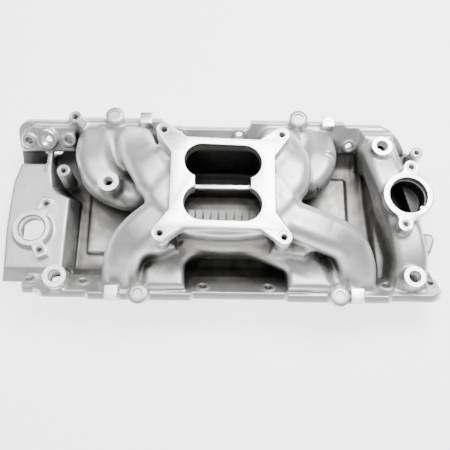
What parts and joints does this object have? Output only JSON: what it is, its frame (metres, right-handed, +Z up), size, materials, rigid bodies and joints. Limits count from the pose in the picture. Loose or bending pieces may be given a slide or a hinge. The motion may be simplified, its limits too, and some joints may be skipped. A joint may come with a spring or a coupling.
{
  "type": "intake manifold",
  "caption": "Cast aluminium dual-plane intake manifold for a V8 engine, with raised curved runners, a carburettor pad, thermostat outlet and distributor pad.",
  "frame": {"origin": "on the ground under the middle of the carburettor pad, which is the middle of the object's plan", "axes": "+X towards the engine's front (thermostat end), +Y towards the engine's left bank, +Z up"},
  "size_m": [0.556, 0.266, 0.149],
  "materials": {
    "cast_aluminium": "bead-blasted sand casting, satin",
    "machined_aluminium": "milled, bright",
    "steel_insert": "tapped thread insert"
  },
  "bodies": {
    "root": {"bracket_insert_front": "steel_insert", "bracket_insert_left": "steel_insert", "bracket_insert_rear": "steel_insert", "bracket_post_front": "cast_aluminium", "bracket_post_left": "cast_aluminium", "bracket_post_rear": "cast_aluminium", "carburettor_pad": "machined_aluminium", "clamp_insert_front": "steel_insert", "clamp_insert_rear": "steel_insert", "clamp_tab_front": "machined_aluminium", "clamp_tab_rear": "machined_aluminium", "coolant_block_rear_left": "cast_aluminium", "coolant_crossover": "cast_aluminium", "coolant_port_boss_front_left": "machined_aluminium", "coolant_port_boss_front_right": "machined_aluminium", "coolant_port_boss_rear_left": "machined_aluminium", "coolant_port_boss_rear_right": "machined_aluminium", "distributor_ring": "machined_aluminium", "end_rail_front": "cast_aluminium", "end_rail_rear": "cast_aluminium", "head_flange_left": "cast_aluminium", "head_flange_right": "cast_aluminium", "plenum_lower": "cast_aluminium", "plenum_upper": "cast_aluminium", "round_boss_left_front": "cast_aluminium", "round_boss_left_rear": "cast_aluminium", "round_boss_right_front": "cast_aluminium", "round_boss_right_rear": "cast_aluminium", "runner_1": "cast_aluminium", "runner_2": "cast_aluminium", "runner_3": "cast_aluminium", "runner_4": "cast_aluminium", "runner_5": "cast_aluminium", "runner_6": "cast_aluminium", "runner_7": "cast_aluminium", "runner_8": "cast_aluminium", "square_lug_left_front": "machined_aluminium", "square_lug_left_rear": "machined_aluminium", "square_lug_right_front": "machined_aluminium", "square_lug_right_rear": "machined_aluminium", "stud_insert_left_front": "steel_insert", "stud_insert_left_rear": "steel_insert", "stud_insert_right_front": "steel_insert", "stud_insert_right_rear": "steel_insert", "stud_leg_left_front": "cast_aluminium", "stud_leg_left_rear": "cast_aluminium", "stud_leg_right_front": "cast_aluminium", "stud_leg_right_rear": "cast_aluminium", "thermostat_flange": "machined_aluminium", "thermostat_insert_left": "steel_insert", "thermostat_insert_right": "steel_insert", "thermostat_neck": "cast_aluminium", "vacuum_port_boss": "machined_aluminium", "valley_tray": "cast_aluminium"}
  },
  "joints": []
}
